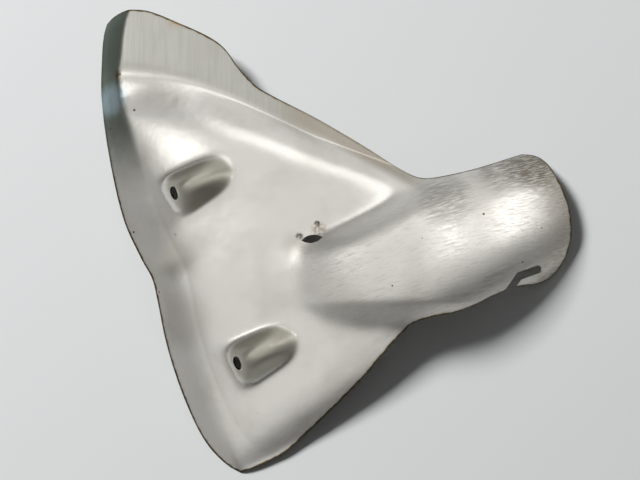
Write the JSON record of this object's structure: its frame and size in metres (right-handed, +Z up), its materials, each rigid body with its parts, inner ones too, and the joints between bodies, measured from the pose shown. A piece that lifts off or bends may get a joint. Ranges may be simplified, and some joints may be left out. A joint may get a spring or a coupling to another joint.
{
  "type": "exhaust heat shield",
  "caption": "Pressed steel exhaust heat shield: a wide fan with sloping rim and raised bolt bosses, narrowing to an arched half-pipe snout.",
  "frame": {"origin": "centre of the bounding box, on the surface that the shield lies on", "axes": "+X from the fan's rim towards the snout's lip, +Y across the fan towards the wing, +Z up"},
  "size_m": [0.313, 0.3072, 0.0446],
  "materials": {
    "steel_sheet": "satin pressed sheet, rubbed and lightly stained"
  },
  "bodies": {
    "root": {"heat_shield": "steel_sheet"}
  },
  "joints": []
}
